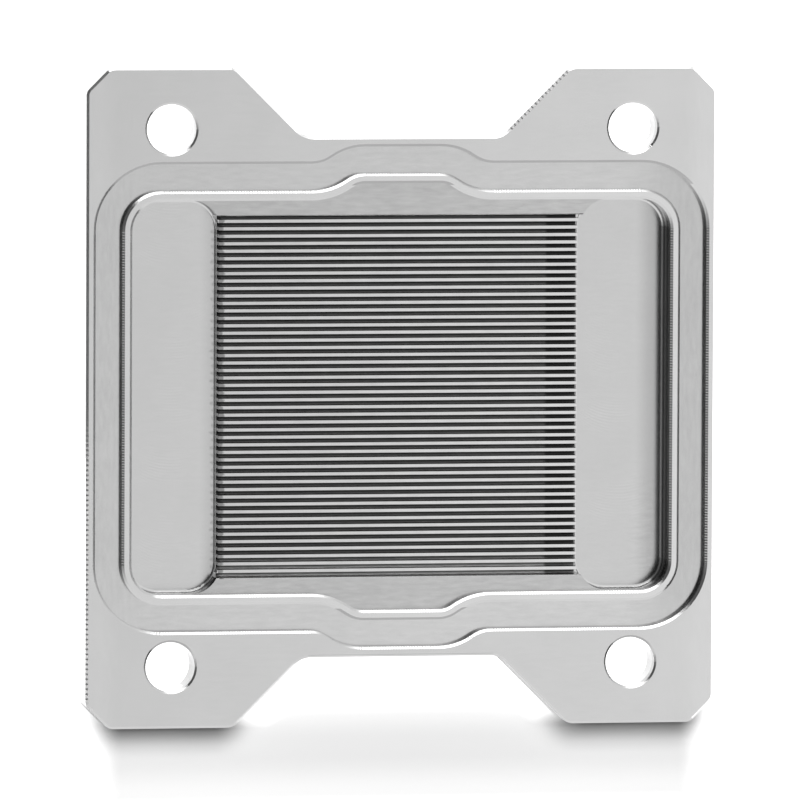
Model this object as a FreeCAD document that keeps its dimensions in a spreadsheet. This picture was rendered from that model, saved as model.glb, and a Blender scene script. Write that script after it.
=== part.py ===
import FreeCAD, Part
import os
import math
import Sketcher

# Cold plate of a water block for a processor: one plate, machined all over.
# It lies on its flat contact face with the fins up, and the origin is the
# middle of that face: X across the fins' ends, Y across the fins, Z up.
# Every number is in millimetres, and every depth is measured from the top face.

doc = FreeCAD.newDocument("ColdPlate")

# The driving sizes, in the order in which the plate is cut.
sheet = doc.addObject("Spreadsheet::Sheet", "Sizes")
driving = [
    ("plate_width", "64.2"),
    ("plate_length", "66.4"),
    ("plate_thickness", "5.0"),
    ("corner_cut", "2.4"),
    ("corner_round", "1.0"),
    ("notch_depth", "7.0"),
    ("notch_floor_width", "20.2"),
    ("notch_flank_angle", "45"),
    ("notch_floor_round", "2.4"),
    ("ear_round", "1.5"),
    ("edge_break", "0.25"),
    ("bolt_spacing_x", "47.0"),
    ("bolt_spacing_y", "54.0"),
    ("bolt_hole_diameter", "5.0"),
    ("bolt_mouth_diameter", "5.4"),
    ("side_land", "0.95"),
    ("notch_wall", "1.0"),
    ("groove_width", "2.7"),
    ("groove_depth", "1.25"),
    ("rim_thickness", "1.0"),
    ("bulge_rise", "1.7"),
    ("bulge_crest_width", "7.7"),
    ("bulge_foot_radius", "7.2"),
    ("bulge_crest_radius", "2.2"),
    ("pool_depth", "1.25"),
    ("pool_corner_radius", "3.0"),
    ("slot_width", "9.15"),
    ("slot_depth", "3.8"),
    ("slot_nose_radius", "0.3"),
    ("fin_thickness", "0.33"),
    ("fin_top_depth", "2.4"),
    ("channel_width", "0.42"),
    ("channel_depth", "3.7"),
    ("least_land_width", "1.5"),
    ("land_break", "0.1"),
]

# What follows from them: each wall of the seal groove is the pool's wall moved
# outwards, and the field takes as many channels as fit between the two lands.
derived = [
    ("notch_floor_y", "=plate_length / 2 - notch_depth"),
    ("notch_mouth_y", "=plate_length / 2 + corner_cut"),
    ("notch_slope", "=tan(notch_flank_angle * 1 deg)"),
    ("notch_mouth_half", "=notch_floor_width / 2 + (notch_mouth_y - notch_floor_y) / notch_slope"),
    ("groove_half_width", "=plate_width / 2 - side_land"),
    ("groove_half_length", "=notch_floor_y - notch_wall - bulge_rise"),
    ("rim_half_width", "=groove_half_width - groove_width"),
    ("rim_half_length", "=groove_half_length - groove_width"),
    ("pool_half_width", "=rim_half_width - rim_thickness"),
    ("pool_half_length", "=rim_half_length - rim_thickness"),
    ("groove_offset", "=rim_thickness + groove_width"),
    ("fin_half_length", "=pool_half_width - slot_width"),
    ("channel_pitch", "=channel_width + fin_thickness"),
    ("channel_room", "=2 * pool_half_length - 2 * least_land_width + fin_thickness"),
    ("channel_count", "=floor(channel_room / channel_pitch)"),
    ("field_half_length", "=(channel_count * channel_pitch - fin_thickness) / 2"),
    ("channel_half_length", "=fin_half_length + pool_corner_radius"),
]
for row, (name, content) in enumerate(driving + derived, start=1):
    sheet.set(f"A{row}", name)
    sheet.set(f"B{row}", content)
    sheet.setAlias(f"B{row}", name)
doc.recompute()


def size(name):
    return float(sheet.get(name))


def half(name):
    return size(name) / 2


body = doc.addObject("PartDesign::Body", "Body")
body.Label = "cold_plate"
ORIGIN = -1
START, END, CENTRE = range(1, 4)


def origin_plane(role):
    return next(item for item in body.Origin.OriginFeatures if item.Role == role)


def sketch_on_top(name, level="Sizes.plate_thickness"):
    sketch = body.newObject("Sketcher::SketchObject", name)
    sketch.AttachmentSupport = (origin_plane("XY_Plane"), [""])
    sketch.MapMode = "FlatFace"
    sketch.setExpression("AttachmentOffset.Base.z", level)
    return sketch


def point(x, y):
    return FreeCAD.Vector(x, y, 0)


def line(sketch, start, end):
    return sketch.addGeometry(Part.LineSegment(start, end), False)


def arc(sketch, centre, radius, first_degrees, last_degrees):
    circle = Part.Circle(centre, FreeCAD.Vector(0, 0, 1), radius)
    turn = Part.ArcOfCircle(circle, math.radians(first_degrees), math.radians(last_degrees))
    return sketch.addGeometry(turn, False)


def bind(sketch, kind, parts, value, expression):
    index = sketch.addConstraint(Sketcher.Constraint(kind, *parts, value))
    name = f"{kind}{index}"
    sketch.renameConstraint(index, name)
    sketch.setExpression(f"Constraints.{name}", expression)


def hold_x(sketch, edge, end, side, value, expression):
    # A point stands at value to the right (side 1) or left (side -1) of the origin.
    pair = (ORIGIN, START, edge, end) if side > 0 else (edge, end, ORIGIN, START)
    bind(sketch, "DistanceX", pair, value, expression)


def hold_y(sketch, edge, end, side, value, expression):
    pair = (ORIGIN, START, edge, end) if side > 0 else (edge, end, ORIGIN, START)
    bind(sketch, "DistanceY", pair, value, expression)


def join_smoothly(sketch, chain):
    # The chain lists (edge, its first end, its last end) in the order of the loop.
    for (edge, _, last), (after, first, _) in zip(chain, chain[1:] + chain[:1]):
        sketch.addConstraint(Sketcher.Constraint("Tangent", edge, last, after, first))


def same_radius(sketch, arcs, value, expression):
    bind(sketch, "Radius", (arcs[0],), value, expression)
    for other in arcs[1:]:
        sketch.addConstraint(Sketcher.Constraint("Equal", arcs[0], other))


def rectangle(sketch, left, right, bottom, top):
    # Each side is (which side of the origin, value, expression).
    corners = [point(left[0] * left[1], bottom[0] * bottom[1]),
               point(right[0] * right[1], bottom[0] * bottom[1]),
               point(right[0] * right[1], top[0] * top[1]),
               point(left[0] * left[1], top[0] * top[1])]
    edges = [line(sketch, a, b) for a, b in zip(corners, corners[1:] + corners[:1])]
    for edge, after in zip(edges, edges[1:] + edges[:1]):
        sketch.addConstraint(Sketcher.Constraint("Coincident", edge, END, after, START))
    for edge, kind in zip(edges, ["Horizontal", "Vertical", "Horizontal", "Vertical"]):
        sketch.addConstraint(Sketcher.Constraint(kind, edge))
    hold_y(sketch, edges[0], START, *bottom)
    hold_x(sketch, edges[1], START, *right)
    hold_y(sketch, edges[2], START, *top)
    hold_x(sketch, edges[3], START, *left)


def bulged_loop(sketch, wall, offset, offset_expression):
    # A rectangle with round corners whose two long sides step out in the middle:
    # foot arc, crest arc, flat crest, crest arc, foot arc. The loop is the pool's
    # wall moved outwards by the offset, so the foot's radius shrinks by it, and
    # the radii of the crest and the corners grow by it.
    width = size(wall + "_half_width")
    length = size(wall + "_half_length")
    corner = size("pool_corner_radius") + offset
    foot = size("bulge_foot_radius") - offset
    crest = size("bulge_crest_radius") + offset
    crest_half = half("bulge_crest_width")
    rise = size("bulge_rise")
    lean = math.degrees(math.acos(1 - rise / (foot + crest)))
    reach = crest_half + (foot + crest) * math.sin(math.radians(lean))

    right = line(sketch, point(width, corner - length), point(width, length - corner))
    left = line(sketch, point(-width, length - corner), point(-width, corner - length))
    upper = []
    lower = []
    for side, edges in ((1, upper), (-1, lower)):
        first = 0 if side > 0 else 270
        turn = 90 if side > 0 else -90
        inner = side * length
        outer = side * (length + rise)
        edges.append(arc(sketch, point(width - corner, side * (length - corner)),
                         corner, first, first + 90))
        edges.append(line(sketch, point(width - corner, inner), point(reach, inner)))
        edges.append(arc(sketch, point(reach, inner + side * foot), foot,
                         *sorted((-turn, -turn - side * lean))))
        edges.append(arc(sketch, point(crest_half, outer - side * crest), crest,
                         *sorted((turn, turn - side * lean))))
        edges.append(line(sketch, point(crest_half, outer), point(-crest_half, outer)))
        edges.append(arc(sketch, point(-crest_half, outer - side * crest), crest,
                         *sorted((turn, turn + side * lean))))
        edges.append(arc(sketch, point(-reach, inner + side * foot), foot,
                         *sorted((-turn, -turn + side * lean))))
        edges.append(line(sketch, point(-reach, inner), point(corner - width, inner)))
        edges.append(arc(sketch, point(corner - width, side * (length - corner)),
                         corner, *((90, 180) if side > 0 else (180, 270))))

    def walk(edges, arc_ends):
        ends = [arc_ends[0], (START, END), arc_ends[1], arc_ends[0], (START, END),
                arc_ends[0], arc_ends[1], (START, END), arc_ends[0]]
        return [(edge, *pair) for edge, pair in zip(edges, ends)]

    forth = walk(upper, [(START, END), (END, START)])
    back = walk(lower, [(END, START), (START, END)])
    back = [(edge, last, first) for edge, first, last in reversed(back)]
    join_smoothly(sketch, [(right, START, END)] + forth + [(left, START, END)] + back)

    for edge in (right, left):
        sketch.addConstraint(Sketcher.Constraint("Vertical", edge))
    for edges in (upper, lower):
        for place in (1, 4, 7):
            sketch.addConstraint(Sketcher.Constraint("Horizontal", edges[place]))
    plus = f" + {offset_expression}"
    minus = f" - {offset_expression}"
    same_radius(sketch, [upper[0], upper[8], lower[0], lower[8]],
                corner, "Sizes.pool_corner_radius" + plus)
    same_radius(sketch, [upper[2], upper[6], lower[2], lower[6]],
                foot, "Sizes.bulge_foot_radius" + minus)
    same_radius(sketch, [upper[3], upper[5], lower[3], lower[5]],
                crest, "Sizes.bulge_crest_radius" + plus)
    hold_x(sketch, right, START, 1, width, f"Sizes.{wall}_half_width")
    hold_x(sketch, left, START, -1, width, f"Sizes.{wall}_half_width")
    for side, edges in ((1, upper), (-1, lower)):
        for place in (1, 7):
            hold_y(sketch, edges[place], START, side, length, f"Sizes.{wall}_half_length")
        hold_y(sketch, edges[4], START, side, length + rise,
               f"Sizes.{wall}_half_length + Sizes.bulge_rise")
        hold_x(sketch, edges[4], START, 1, crest_half, "Sizes.bulge_crest_width / 2")
        hold_x(sketch, edges[4], END, -1, crest_half, "Sizes.bulge_crest_width / 2")


def feature(kind, name, **settings):
    made = body.newObject(kind, name)
    for key, value in settings.items():
        setattr(made, key, value)
    return made


def cut(name, sketch, depth):
    made = feature("PartDesign::Pocket", name, Profile=sketch, Type="Length")
    made.setExpression("Length", f"Sizes.{depth}")
    sketch.Visibility = False
    doc.recompute()
    return made


def mirrored(name, original, role):
    made = feature("PartDesign::Mirrored", name, Originals=[original],
                   MirrorPlane=(origin_plane(role), [""]))
    body.Tip = made
    doc.recompute()
    return made


def near(value, target):
    return abs(value - target) < 1e-4


def edge_names(shape, wanted):
    return [f"Edge{i}" for i, edge in enumerate(shape.Edges, start=1) if wanted(edge)]


def face_names(shape, wanted):
    return [f"Face{i}" for i, face in enumerate(shape.Faces, start=1) if wanted(face)]


def dress(kind, name, base, names, setting, alias):
    # A fillet or a chamfer on the named edges or faces of the feature before it.
    made = feature(f"PartDesign::{kind}", name, Base=(base, names))
    made.setExpression(setting, f"Sizes.{alias}")
    doc.recompute()
    return made


def upright_at(places):
    # Upright edges whose distances from the two middle planes are in the list.
    def wanted(edge):
        box = edge.BoundBox
        if box.XLength > 1e-4 or box.YLength > 1e-4:
            return False
        return any(near(abs(box.XMin), x) and near(abs(box.YMin), y) for x, y in places)
    return wanted


def lies_at(level):
    def wanted(face):
        return face.BoundBox.ZLength < 1e-4 and near(face.BoundBox.ZMin, level)
    return wanted


# The blank, with its four outer corners cut at 45 degrees.
blank_sketch = sketch_on_top("BlankSketch", "0")
rectangle(blank_sketch,
          (-1, half("plate_width"), "Sizes.plate_width / 2"),
          (1, half("plate_width"), "Sizes.plate_width / 2"),
          (-1, half("plate_length"), "Sizes.plate_length / 2"),
          (1, half("plate_length"), "Sizes.plate_length / 2"))
blank = feature("PartDesign::Pad", "Blank", Profile=blank_sketch, Type="Length")
blank.setExpression("Length", "Sizes.plate_thickness")
doc.recompute()
corners = edge_names(blank.Shape, upright_at([(half("plate_width"), half("plate_length"))]))
ears_cut = dress("Chamfer", "EarCorners", blank, corners, "Size", "corner_cut")

# A notch with sloping flanks in the middle of each end leaves four ears.
notch_sketch = sketch_on_top("NotchSketch")
floor_y = size("notch_floor_y")
floor_half = half("notch_floor_width")
mouth_y = size("notch_mouth_y")
mouth_half = size("notch_mouth_half")
outline = [point(-floor_half, floor_y), point(floor_half, floor_y),
           point(mouth_half, mouth_y), point(-mouth_half, mouth_y)]
edges = [line(notch_sketch, a, b) for a, b in zip(outline, outline[1:] + outline[:1])]
for edge, after in zip(edges, edges[1:] + edges[:1]):
    notch_sketch.addConstraint(Sketcher.Constraint("Coincident", edge, END, after, START))
for edge, y, x, level, reach in (
        (edges[0], floor_y, floor_half, "Sizes.notch_floor_y", "Sizes.notch_floor_width / 2"),
        (edges[2], mouth_y, mouth_half, "Sizes.notch_mouth_y", "Sizes.notch_mouth_half")):
    side = 1 if edge == edges[0] else -1
    notch_sketch.addConstraint(Sketcher.Constraint("Horizontal", edge))
    hold_y(notch_sketch, edge, START, 1, y, level)
    hold_x(notch_sketch, edge, START, -side, x, reach)
    hold_x(notch_sketch, edge, END, side, x, reach)
notch = cut("Notch", notch_sketch, "plate_thickness")
notches = mirrored("Notches", notch, "XZ_Plane")

# The notches' inner corners and the ears' outer corners are milled round.
ear_x = floor_half + size("notch_depth") / size("notch_slope")
cut_x = half("plate_width") - size("corner_cut")
cut_y = half("plate_length") - size("corner_cut")
names = edge_names(notches.Shape, upright_at([(floor_half, floor_y)]))
rounds = dress("Fillet", "NotchRounds", notches, names, "Radius", "notch_floor_round")
names = edge_names(rounds.Shape, upright_at([(ear_x, half("plate_length"))]))
rounds = dress("Fillet", "EarRounds", rounds, names, "Radius", "ear_round")
names = edge_names(rounds.Shape, upright_at([(cut_x, half("plate_length")),
                                             (half("plate_width"), cut_y)]))
rounds = dress("Fillet", "CornerRounds", rounds, names, "Radius", "corner_round")

# The seal groove runs round the pool at an even width, and the rim stands
# between them.
groove_sketch = sketch_on_top("GrooveSketch")
bulged_loop(groove_sketch, "groove", size("groove_offset"), "Sizes.groove_offset")
bulged_loop(groove_sketch, "rim", size("rim_thickness"), "Sizes.rim_thickness")
groove = cut("Groove", groove_sketch, "groove_depth")

# The shallow pool inside the rim.
pool_sketch = sketch_on_top("PoolSketch")
bulged_loop(pool_sketch, "pool", 0, "0")
pool = cut("Pool", pool_sketch, "pool_depth")

# All edges of the top face and the rim are broken, and the outline underneath.
top = lies_at(size("plate_thickness"))
under = lies_at(0)
names = face_names(pool.Shape, lambda face: top(face) or under(face))
broken = dress("Chamfer", "BrokenEdges", pool, names, "Size", "edge_break")

# A deep slot at each end of the fins carries the water to the channels. The
# end mill's rounded tip leaves a small foot along its walls.
slot_sketch = sketch_on_top("SlotSketch")
slot_in = size("fin_half_length")
slot_out = size("pool_half_width")
slot_end = size("pool_half_length")
slot_round = size("pool_corner_radius")
slot_edges = []
for start, end, centre, first in (
        (point(slot_in + slot_round, -slot_end), point(slot_out - slot_round, -slot_end),
         point(slot_out - slot_round, slot_round - slot_end), 270),
        (point(slot_out, slot_round - slot_end), point(slot_out, slot_end - slot_round),
         point(slot_out - slot_round, slot_end - slot_round), 0),
        (point(slot_out - slot_round, slot_end), point(slot_in + slot_round, slot_end),
         point(slot_in + slot_round, slot_end - slot_round), 90),
        (point(slot_in, slot_end - slot_round), point(slot_in, slot_round - slot_end),
         point(slot_in + slot_round, slot_round - slot_end), 180)):
    slot_edges.append(line(slot_sketch, start, end))
    slot_edges.append(arc(slot_sketch, centre, slot_round, first, first + 90))
join_smoothly(slot_sketch, [(edge, START, END) for edge in slot_edges])
for place, kind in ((0, "Horizontal"), (2, "Vertical"), (4, "Horizontal"), (6, "Vertical")):
    slot_sketch.addConstraint(Sketcher.Constraint(kind, slot_edges[place]))
same_radius(slot_sketch, slot_edges[1::2], slot_round, "Sizes.pool_corner_radius")
hold_y(slot_sketch, slot_edges[0], START, -1, slot_end, "Sizes.pool_half_length")
hold_x(slot_sketch, slot_edges[2], START, 1, slot_out, "Sizes.pool_half_width")
hold_y(slot_sketch, slot_edges[4], START, 1, slot_end, "Sizes.pool_half_length")
hold_x(slot_sketch, slot_edges[6], START, 1, slot_in, "Sizes.fin_half_length")
slot = cut("Slot", slot_sketch, "slot_depth")
slots = mirrored("Slots", slot, "YZ_Plane")
names = face_names(slots.Shape, lies_at(size("plate_thickness") - size("slot_depth")))
slot_feet = dress("Fillet", "SlotFeet", slots, names, "Radius", "slot_nose_radius")

# The block that the fins are cut from stands lower than the two lands.
field_sketch = sketch_on_top("FieldSketch")
run = size("channel_half_length")
field_end = size("field_half_length")
rectangle(field_sketch,
          (-1, run, "Sizes.channel_half_length"),
          (1, run, "Sizes.channel_half_length"),
          (-1, field_end, "Sizes.field_half_length"),
          (1, field_end, "Sizes.field_half_length"))
field = cut("FinField", field_sketch, "fin_top_depth")

# The channels are sawn straight through from slot to slot, one beside the
# other, and the fins are what they leave.
channel_sketch = sketch_on_top("ChannelSketch")
rectangle(channel_sketch,
          (-1, run, "Sizes.channel_half_length"),
          (1, run, "Sizes.channel_half_length"),
          (-1, field_end, "Sizes.field_half_length"),
          (-1, field_end - size("channel_width"), "Sizes.field_half_length - Sizes.channel_width"))
channel = cut("Channel", channel_sketch, "channel_depth")
channels = feature("PartDesign::LinearPattern", "Channels", Originals=[channel],
                   Direction=(channel_sketch, ["V_Axis"]))
channels.setExpression("Length", "(Sizes.channel_count - 1) * Sizes.channel_pitch")
channels.setExpression("Occurrences", "Sizes.channel_count")
body.Tip = channels
doc.recompute()

# The lands' edges along the fins are broken lightly.
land_level = size("plate_thickness") - size("pool_depth")
names = edge_names(channels.Shape, lambda edge: near(edge.BoundBox.ZMin, land_level)
                   and near(edge.BoundBox.ZMax, land_level)
                   and edge.BoundBox.YLength < 1e-4
                   and near(abs(edge.BoundBox.YMin), field_end))
lands = dress("Chamfer", "LandEdges", channels, names, "Size", "land_break")

# Four clearance holes for the screws, one in each ear, with broken mouths.
bolt_sketch = sketch_on_top("BoltSketch")
for side_x in (-1, 1):
    for side_y in (-1, 1):
        centre = point(side_x * half("bolt_spacing_x"), side_y * half("bolt_spacing_y"))
        round_edge = bolt_sketch.addGeometry(
            Part.Circle(centre, FreeCAD.Vector(0, 0, 1), half("bolt_hole_diameter")), False)
        hold_x(bolt_sketch, round_edge, CENTRE, side_x, half("bolt_spacing_x"), "Sizes.bolt_spacing_x / 2")
        hold_y(bolt_sketch, round_edge, CENTRE, side_y, half("bolt_spacing_y"), "Sizes.bolt_spacing_y / 2")
        bind(bolt_sketch, "Diameter", (round_edge,), size("bolt_hole_diameter"), "Sizes.bolt_hole_diameter")
doc.recompute()
bolt_holes = feature("PartDesign::Hole", "BoltHoles", Profile=bolt_sketch)
doc.recompute()
bolt_holes.DepthType = "ThroughAll"
bolt_holes.HoleCutType = "Countersink"
bolt_holes.HoleCutCountersinkAngle = 90
bolt_holes.setExpression("Diameter", "Sizes.bolt_hole_diameter")
bolt_holes.setExpression("HoleCutDiameter", "Sizes.bolt_mouth_diameter")
body.Tip = bolt_holes
doc.recompute()

for item in doc.Objects:
    assert "Invalid" not in item.State and "Error" not in item.State, item.Name
for item in body.Group:
    if hasattr(item, "Shape"):
        assert not item.Shape.isNull() and item.Shape.isValid(), item.Name
plate = body.Shape
assert plate.isValid() and len(plate.Solids) == 1

os.makedirs("parts", exist_ok=True)
plate.exportStep(f"parts/{body.Label}.step")
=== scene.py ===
import math

import bmesh
import bpy
from mathutils import Matrix, Vector

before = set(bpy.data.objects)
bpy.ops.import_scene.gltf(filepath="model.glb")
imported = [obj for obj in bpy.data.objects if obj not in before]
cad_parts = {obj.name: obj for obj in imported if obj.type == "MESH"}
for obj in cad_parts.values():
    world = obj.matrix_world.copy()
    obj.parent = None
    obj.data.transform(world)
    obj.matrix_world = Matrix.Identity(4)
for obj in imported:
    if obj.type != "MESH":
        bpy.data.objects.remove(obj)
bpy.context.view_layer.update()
scene = bpy.context.scene


# Cold plate: one block of copper, milled and sawn all over, then plated with nickel.
# The plating is a few micrometres thick, so the cutters' marks still show through it:
# faint on the lapped top face, as arcs in the two slots, and as fine ribs on the broken edges.

class Socket:
    """A shader socket that takes part in arithmetic; every operator adds its Math node."""

    def __init__(self, tree, source):
        self.tree = tree
        self.source = source

    def maths(self, operation, *others):
        numbers = [self, *others]
        return node(self.tree, "ShaderNodeMath", {"operation": operation}, dict(enumerate(numbers)))

    def __add__(self, other):
        return self.maths("ADD", other)

    def __radd__(self, other):
        return self.maths("ADD", other)

    def __sub__(self, other):
        return self.maths("SUBTRACT", other)

    def __rsub__(self, other):
        return node(self.tree, "ShaderNodeMath", {"operation": "SUBTRACT"}, {0: other, 1: self})

    def __neg__(self):
        return 0.0 - self

    def __mul__(self, other):
        return self.maths("MULTIPLY", other)

    def __rmul__(self, other):
        return self.maths("MULTIPLY", other)

    def __truediv__(self, other):
        return self.maths("DIVIDE", other)

    def __pow__(self, other):
        return self.maths("POWER", other)

    def __gt__(self, other):
        return self.maths("GREATER_THAN", other)

    def __lt__(self, other):
        return self.maths("LESS_THAN", other)

    def __abs__(self):
        return self.maths("ABSOLUTE")

    def at_least(self, other):
        return self.maths("MAXIMUM", other)

    def between(self, low, high):
        return (self > low) * (self < high)

    def ease(self, low, high):
        """Rises smoothly from 0 at low to 1 at high."""
        return node(self.tree, "ShaderNodeMapRange",
                    {"interpolation_type": "SMOOTHSTEP"},
                    {"Value": self, "From Min": low, "From Max": high})

    def wave(self, period):
        """Swings from -1 to 1 and back once in every period."""
        return (self * (2 * math.pi / period)).maths("SINE")


def node(tree, kind, settings=None, inputs=None, output=0):
    """Adds one node: its settings first, then the values or links of its sockets."""
    made = tree.nodes.new(kind)
    for name, value in (settings or {}).items():
        setattr(made, name, value)
    for name, value in (inputs or {}).items():
        if isinstance(value, Socket):
            tree.links.new(value.source, made.inputs[name])
        else:
            made.inputs[name].default_value = value
    return Socket(tree, made.outputs[output]) if made.outputs else None


def split(tree, vector):
    return [node(tree, "ShaderNodeSeparateXYZ", {}, {0: vector}, axis) for axis in "XYZ"]


def join(tree, x, y, z):
    return node(tree, "ShaderNodeCombineXYZ", {}, {"X": x, "Y": y, "Z": z})


def noise(tree, vector, scale, detail):
    """Noise from 0 to 1 whose grains are 1/scale millimetres along each axis."""
    stretched = node(tree, "ShaderNodeVectorMath", {"operation": "MULTIPLY"}, {0: vector, 1: scale})
    return node(tree, "ShaderNodeTexNoise", {}, {"Vector": stretched, "Scale": 1.0, "Detail": detail})


def place_in_mm(tree):
    place = node(tree, "ShaderNodeTexCoord", output="Object")
    return node(tree, "ShaderNodeVectorMath", {"operation": "SCALE"}, {0: place, "Scale": 1000.0})


def new_material(name):
    material = bpy.data.materials.new(name)
    material.use_nodes = True
    material.node_tree.nodes.clear()
    return material, material.node_tree


# Sizes of the plate that the marks follow, in millimetres from the middle of the contact face.
# Its heights are those of the top face, the lands and the groove, the fins' tops and the slot floors.
face_height = 5.0
land_height = 3.75
fin_height = 2.6
slot_height = 1.2
fin_half_length = 18.3
field_half_width = 18.3
channel_pitch = 0.75
slot_width = 9.15
hole_x = 23.5
hole_y = 27.0

nickel, tree = new_material("nickel_plating")
in_mm = place_in_mm(tree)
x, y, z = split(tree, in_mm)
normal = node(tree, "ShaderNodeNewGeometry", output="Normal")
lean_x, lean_y, rise = split(tree, normal)

# The plate's surfaces, told apart by their height, their slope and their place.
level = rise > 0.99
sloping = rise.between(0.5, 0.9)
upright = 1.0 - rise.ease(0.2, 0.8)
bulge = 1.7 * (1.0 - abs(x).ease(4.5, 9.0))
in_field = (abs(x) < fin_half_length + 0.05) * (abs(y) < field_half_width)
sunk = 1.0 - z.ease(fin_height - 0.4, fin_height - 0.02)
fin_end = in_field * (x < -18.2) * (lean_x < -0.5)
channel = in_field * sunk * (1.0 - fin_end)
fin_top = in_field * (1.0 - sunk)
shelf = level * z.between(land_height - 0.05, land_height + 0.05)
land = shelf * (abs(x) < 21.2) * (abs(y) < 20.3 + bulge)
groove = shelf - land
on_face = level * (z > face_height - 0.1)
rim = on_face * (abs(x) < 28.8) * (abs(y) < 21.3 + bulge)
margin = on_face * abs(x).ease(28.5, 31.0)
slot_floor = level * z.between(slot_height - 0.05, slot_height + 0.05)
slot_wall = upright * z.between(slot_height - 0.1, land_height - 0.03) * (abs(x) > 18.4)
# Painted shade at the foot of the fins' left ends, in dots along it.
slot_root = z.between(slot_height + 0.02, slot_height + 0.45) * x.between(-18.8, -18.2)
slot_root = slot_root * (abs(y) < field_half_width)
# Painted shade, mottled, along the slots' top edges that face down.
slot_edge = sloping * z.between(land_height - 0.15, land_height + 0.01)
slot_edge = slot_edge * (lean_y < -0.2) * (abs(x) > fin_half_length)
# Painted shade over the reflection in the lands' edges beside the fins.
land_edge = sloping * (z < land_height + 0.05) * (lean_y > 0.5) * (abs(x) < 19.5)
# Painted shade on the wall at the groove's bottom run that faces up.
low_groove_wall = upright * z.between(land_height + 0.01, face_height - 0.26)
low_groove_wall = low_groove_wall * (y < -23.2) * (lean_y > 0.5)
broken = sloping * (z > face_height - 0.3)
outline = (abs(x) > 31.5).at_least(abs(x) + abs(y) > 62.3)
outline = outline.at_least((abs(y) > 26.6) * (abs(x) < 19.5))
# Painted shade on the broken edges along the groove's top and bottom runs that face down.
groove_line = broken * abs(y).between(21.3, 26.0) * (-lean_y).ease(0.2, 0.6)
# Painted highlight on the outline's broken edges that face right.
right_edge = broken * outline * (lean_x > 0.3) * (lean_y > -0.3)
# Painted shade on the top of the left outer wall, from a little below the middle upwards.
wall_top = upright * (z > face_height - 0.9) * (x < -29.5) * (y > -6.0) * (lean_x < -0.4)
from_hole = ((abs(x) - hole_x) ** 2.0 + (abs(y) - hole_y) ** 2.0) ** 0.5
# Painted shade: a dark crescent on the holes' walls just below their mouths, on the side that faces left.
hole_mouth = upright * (z > face_height - 1.3) * (from_hole < 2.6)
hole_mouth = hole_mouth * (0.26 * lean_y - 0.97 * lean_x).ease(0.55, 0.8)

# Marks all over: fine grain, slow clouds, and streaks along the feed, which turns with the groove.
# In the slots the cutter leaves arcs, and scratches where it came out.
grain = noise(tree, in_mm, (9.0, 9.0, 9.0), 4.0)
cloud = noise(tree, in_mm, (0.16, 0.16, 0.16), 3.0)
streak_x = noise(tree, in_mm, (0.6, 2.6, 2.6), 5.0)
streak_y = noise(tree, in_mm, (2.6, 0.6, 2.6), 5.0)
streak = streak_x + abs(x).ease(24.0, 30.0) * (streak_y - streak_x)
scratched = slot_floor * x.ease(23.0, 26.5) * (-y).ease(6.0, 15.0)
across_slot = 6.0 * ((abs(x) - fin_half_length) / slot_width) - 3.0
arc = y + (9.0 - across_slot * across_slot).at_least(0.0) ** 0.5
arcs = arc.wave(0.31) * slot_floor * cloud.ease(0.45, 0.7)

# The saw leaves the channels rough. Their colour is painted shade, darkest at their right ends, with
# painted light towards the side of each channel that the light reaches, towards the lowest channels and
# towards the right. It pushes burrs out of their left ends, which show only as painted shadows.
worn = noise(tree, in_mm, (0.5, 3.0, 3.0), 3.0)
right_end_shade = x.ease(15.1, 15.5)
in_channel = ((y / channel_pitch + 0.5).maths("FRACT") - 0.5) * channel_pitch
lit_side = 1.0 - in_channel.ease(-0.25, 0.15)
lower_channels_lit = (-y).ease(15.8, 18.2)
to_right = x / fin_half_length
painted_channel_shading = (0.035 + 0.4 * lit_side ** 1.6) * (1.0 + 0.1 * to_right) * (1.0 - 0.65 * right_end_shade)
painted_channel_shading = painted_channel_shading * (1.0 + 2.6 * lower_channels_lit) * (1.3 - 0.6 * worn)
# Painted shadows of the burrs: a ragged dark band over the fins' left ends and dark specks on the slot
# floor beside them.
ragged_noise = noise(tree, in_mm, (1.6, 1.6, 1.6), 3.0)
mouths = (y + channel_pitch / 4).wave(channel_pitch)
reach = x + 0.9 * (ragged_noise - 0.5) + 0.08 * mouths
painted_burr_shadow = in_field * (1.0 - reach.ease(-18.05, -17.75)) * (lean_x > -0.5)
painted_speck_shadow = slot_floor * reach.ease(-18.9, -18.7) * (x < -18.0) * (abs(y) < 18.25)
# Painted shade along both edges of every fin top.
fin_edge_shade = fin_top * (1.0 - abs(in_channel).ease(0.21, 0.245))

# Painted shade on the slots' walls, which are darker than the rest: most of all on those that face left,
# on the right slot's lower wall, and in the left slot's lower corner next to the fins. Painted shade also
# darkens the floors towards their feet.
to_left = (0.37 * lean_y - 0.93 * lean_x).ease(0.5, 0.95)
lower_right = slot_wall * (x > 0.0) * lean_y.ease(0.2, 0.7) * (1.0 - to_left)
below_fins = slot_wall * x.between(-22.0, -18.2) * (y < -16.5)
painted_left_foot_shade = (0.16 + 0.16 * (-y).ease(12.0, 19.0)) * (x.ease(-20.2, -18.3) - (x > 0.0))
painted_foot_shade = (painted_left_foot_shade + 0.2 * x.ease(24.4, 26.3)).at_least(0.0)

# The plating is an even light grey. These shares make each place lighter or darker than that.
rubbed = 0.05 + 0.28 * land + 0.12 * groove + 0.2 * fin_top + 0.3 * scratched
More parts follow.
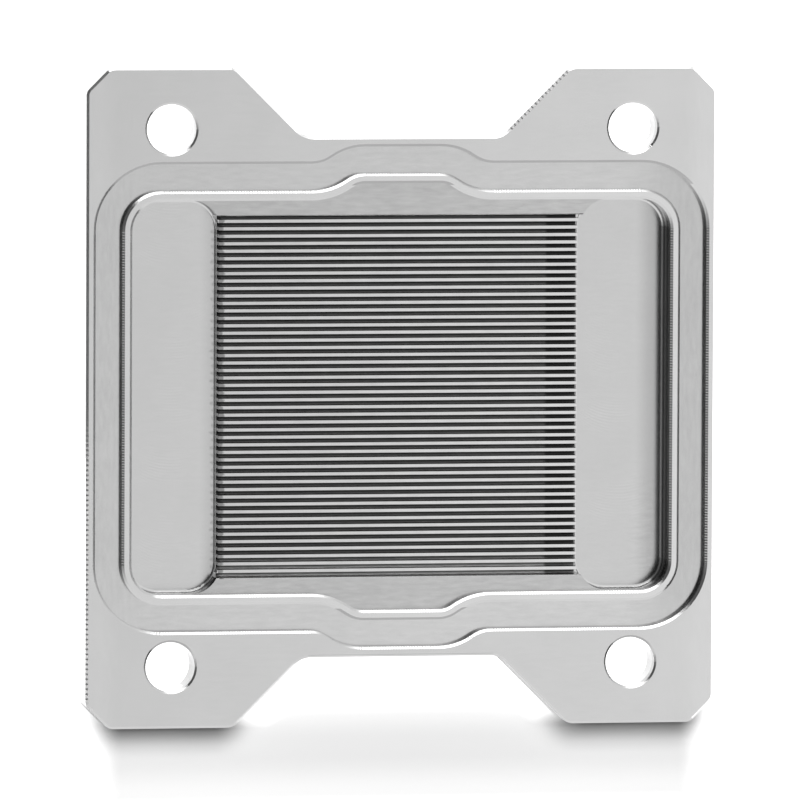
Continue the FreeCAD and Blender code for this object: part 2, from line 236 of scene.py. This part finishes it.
# Painted light: the term 0.014 * (x / 30.0) makes the plate a little lighter towards its right.
tone = 1.0 + 0.14 * (cloud - 0.5) + 0.14 * (grain - 0.5) + 0.014 * (x / 30.0) + rubbed * (streak - 0.5)
shares = [
    (rim, 0.09),
    (margin, 0.05),
    (land, -0.12),
    # Painted shade on the lands' edges beside the fins.
    (land_edge, -0.7),
    (groove, 0.04 * (-y).ease(15.0, 22.0) - 0.12 * x.ease(22.0, 29.0) - 0.05),
    # Painted shade on the downward-facing broken edges along the groove.
    (groove_line, -0.34),
    # Painted shade on the groove's lower wall.
    (low_groove_wall, -0.5),
    (arcs, 0.025),
    # The right slot's floor is a little darker; painted shade darkens both floors towards the walls' feet
    # and darkens the slot walls.
    (slot_floor, -0.06 * (x > 0.0) - painted_foot_shade),
    (slot_wall, -0.45 - 0.25 * to_left),
    # Painted shade at the foot of the fins' left ends.
    (slot_root, -0.2 - 0.2 * mouths),
    # Painted shade, mottled, on the slots' top edges that face down.
    (slot_edge, 0.01 - 0.9 * ragged_noise),
    # Painted shade over the reflections in the right slot's lower wall and in the left slot's lower corner
    # beside the fins.
    (lower_right, -0.7),
    (below_fins, -0.6),
    # The fin tops are a little lighter, and painted light lightens them further towards the right.
    (fin_top, 0.05 + 0.06 * to_right),
    # Painted shade and painted light in the channels.
    (channel, painted_channel_shading - 1.0),
    # Painted shadows of the burrs, on the fins' left ends and on the slot floor beside them.
    (painted_burr_shadow, -0.55),
    (painted_speck_shadow, -0.1 - 0.1 * mouths),
    # Painted shade on the edges of the fin tops.
    (fin_edge_shade, -0.6),
    # Painted shade in the holes' mouths.
    (hole_mouth, -0.85),
    # Painted shade on the top of the left outer wall.
    (wall_top, -0.8),
    # Painted highlight on the outline's right-facing edges.
    (right_edge, 0.28),
]
for where, share in shares:
    tone = tone * (1.0 + where * share)
colour = node(tree, "ShaderNodeVectorMath", {"operation": "SCALE"}, {0: (0.78, 0.78, 0.78), "Scale": tone})

# The edge-breaking cutter leaves a rib at every turn, so the normal swings along the edge. Edges that
# face right or down are rolled over a little, and two stretches that face left were filed.
run = (1.0 - rise * rise).at_least(0.05) ** 0.5
along = (x * lean_y - y * lean_x) / run
swing = broken * (0.26 - 0.12 * lean_y.ease(0.2, 0.6)) * (1.0 - 0.85 * outline) * along.wave(0.27)
leans_right = lean_x.at_least(0.0)
leans_down = (-lean_y - 0.8 * leans_right).at_least(0.0)
rolled = broken * (0.14 * leans_right + 0.9 * leans_down)
nudge = join(tree, swing * lean_y, -(swing * lean_x), rolled)
ribbed = node(tree, "ShaderNodeVectorMath", {"operation": "ADD"}, {0: normal, 1: nudge})
ribbed = node(tree, "ShaderNodeVectorMath", {"operation": "NORMALIZE"}, {0: ribbed})
filed = x.between(8.0, 20.0) * (y > 26.0) + (x < -31.4) * (1.0 - y.ease(-14.0, 0.0))
filed = filed * broken * (lean_x < -0.3)
roughness = 0.17 + 0.05 * (grain - 0.5) + 0.04 * (cloud - 0.5) + 0.05 * land + 0.25 * channel
roughness = roughness + 0.45 * fin_end + filed * (0.22 + 0.22 * along.wave(0.5))
bump = node(tree, "ShaderNodeBump", {}, {
    "Strength": 0.12,
    "Distance": 0.00001,
    "Height": grain,
    "Normal": ribbed,
})
metal = node(tree, "ShaderNodeBsdfPrincipled", {}, {
    "Base Color": colour,
    "Metallic": 1.0,
    "Roughness": roughness,
    "Normal": bump,
})
node(tree, "ShaderNodeOutputMaterial", {}, {"Surface": metal})
plate = bpy.data.objects["cold_plate"]
plate.data.materials.clear()
plate.data.materials.append(nickel)


# Table top: a plain white sheet that the plate lies on, flat on its contact face.
# It glows white to the camera and in the metal, through the holes and past the edges too: painted light,
# which covers the plate's own shadow there. It keeps the shadow that falls below the two lower ears.

floor_mesh = bpy.data.meshes.new("table_top")
shape = bmesh.new()
bmesh.ops.create_grid(shape, x_segments=1, y_segments=1, size=1.5)
shape.to_mesh(floor_mesh)
shape.free()
table_top = bpy.data.objects.new("table_top", floor_mesh)
scene.collection.objects.link(table_top)

white, tree = new_material("white_table")
seen = node(tree, "ShaderNodeLightPath", output="Is Camera Ray")
mirrored = node(tree, "ShaderNodeLightPath", output="Is Glossy Ray")
x, y, z = split(tree, place_in_mm(tree))
down = -y

# The sheet glows white in the notches, in the holes, beside and beyond the plate: painted light that
# covers the plate's shadow there. The camera looks from the left, so what is seen in the middle of the
# plate lies 0.9 mm to the right on the sheet.
from_middle = abs(x - 0.9)
notch_end = (down - 1.4 * from_middle.ease(11.0, 14.0)).ease(30.0, 32.5)
in_notch = (abs(y) - abs(x)).ease(14.0, 16.5) * (1.0 - notch_end)
from_hole = ((abs(x) - hole_x) ** 2.0 + (abs(y) - hole_y) ** 2.0) ** 0.5
in_hole = 1.0 - from_hole.ease(2.6, 3.0)
corner = (abs(x) + y).ease(62.2, 63.2)
low = down > 30.5
beside = abs(x).ease(31.6, 32.4) * (1.0 - low) + from_middle.ease(28.5, 34.5) * low
under_side = abs(x).ease(31.8, 32.3).at_least(corner)
beyond = y.ease(33.2, 34.0).at_least(down.ease(40.5, 43.0)).at_least(corner)
bright = in_notch.at_least(in_hole).at_least(beside).at_least(beyond)

# Below the two lower ears the sheet keeps the soft box's shadow, deepened by painted shadow right next to
# them, and a faint, wide painted shade joins the two.
fades = 1.0 - down.ease(36.5, 40.5)
ear = from_middle.ease(15.2, 19.0) * (1.0 - from_middle.ease(28.5, 32.5)) * down.ease(31.5, 33.4)
wide = down.ease(31.0, 35.0) * (1.0 - from_middle.ease(27.5, 33.0))
shade = fades * ear.at_least(wide)
# Painted shadow: the sheet's colour darkens right below the ears.
contact = ear * (0.47 * (1.0 - down.ease(33.2, 35.7)) + 0.12 * (1.0 - down.ease(33.7, 34.1)))
grey = 0.92 * (1.0 - contact)
glow = seen * (bright + 0.16 * (1.0 - shade))
# Painted reflection light: the sheet glows in the metal's reflections, most of all under the holes and
# along the plate's sides.
glow = glow + mirrored * (0.35 + 0.9 * in_hole + 0.9 * under_side)
paper = node(tree, "ShaderNodeBsdfPrincipled", {}, {
    "Base Color": join(tree, grey, grey, grey),
    "Roughness": 1.0,
    "Specular IOR Level": 0.0,
    "Emission Color": join(tree, glow, glow, glow),
    "Emission Strength": 1.0,
})
node(tree, "ShaderNodeOutputMaterial", {}, {"Surface": paper})
table_top.data.materials.append(white)


# Studio: a white tent of light, brightest beyond the plate's upper edge, with one dark gap: from the
# camera down to the tent's left side. A large soft box hangs over the plate's upper half.

azimuth = math.radians(10.0)
elevation = math.radians(4.0)
back = Vector((-math.sin(azimuth) * math.cos(elevation), math.sin(elevation),
               math.cos(azimuth) * math.cos(elevation)))
gap = Vector((back.x, back.y, 0)).normalized()

tent = bpy.data.worlds.new("tent")
scene.world = tent
tent.use_nodes = True
tree = tent.node_tree
tree.nodes.clear()
towards = node(tree, "ShaderNodeTexCoord", output="Generated")
east, north, high = split(tree, towards)
flat = (east * east + north * north).at_least(0.0001) ** 0.5
to_gap = (gap.x * east + gap.y * north) / flat
from_gap = (gap.x * north - gap.y * east) / flat
gap_shade = to_gap.ease(0.0, 0.1) * from_gap.ease(-0.65, -0.52) * (1.0 - from_gap.ease(0.42, 0.8))
gap_shade = gap_shade * flat.ease(0.02, 0.2)
near_lens = back.x * east + back.y * north + back.z * high
lens_shade = near_lens.ease(math.cos(math.radians(20.0)), math.cos(math.radians(13.0)))
strip = (0.985 * north - 0.17 * east).ease(0.84, 0.97) * (1.0 - high.ease(0.05, 0.3))
mirrored_light = (0.83 + 2.6 * strip) * (1.0 - 0.92 * lens_shade) * (1.0 - 0.88 * gap_shade)
camera_ray = node(tree, "ShaderNodeLightPath", output="Is Camera Ray")
glossy_ray = node(tree, "ShaderNodeLightPath", output="Is Glossy Ray")
diffuse_light = 0.05
object_light = diffuse_light + glossy_ray * (mirrored_light - diffuse_light)
strength = camera_ray + (1.0 - camera_ray) * object_light
light = node(tree, "ShaderNodeBackground", {}, {
    "Color": join(tree, strength, strength, strength),
    "Strength": 1.0,
})
node(tree, "ShaderNodeOutputWorld", {}, {"Surface": light})

soft_box = bpy.data.lights.new("soft_box", "AREA")
soft_box.shape = "RECTANGLE"
soft_box.size = 0.30
soft_box.size_y = 0.37
soft_box.energy = 3.5
box = bpy.data.objects.new("soft_box", soft_box)
scene.collection.objects.link(box)
box.location = (-0.02, 0.18, 0.55)
box.visible_glossy = False


# Camera: far over the plate, a little to the left of its middle and a little towards its upper
# edge, with a long lens that keeps the plate's sides nearly parallel.

distance = 1.169
aim = Vector((-0.00023, -0.00031, 0.005))
roll = math.radians(0.249)
right = Vector((0, 1, 0)).cross(back).normalized()
up = back.cross(right)
turned = Matrix((right, up, back)).transposed() @ Matrix.Rotation(roll, 3, "Z")
lens = bpy.data.cameras.new("camera")
lens.sensor_width = 36.0
lens.lens = 523.35
lens.clip_start = 0.1
lens.clip_end = 10.0
camera = bpy.data.objects.new("camera", lens)
scene.collection.objects.link(camera)
camera.matrix_world = Matrix.Translation(aim + back * distance) @ turned.to_4x4()
scene.camera = camera
scene.view_settings.view_transform = "Standard"
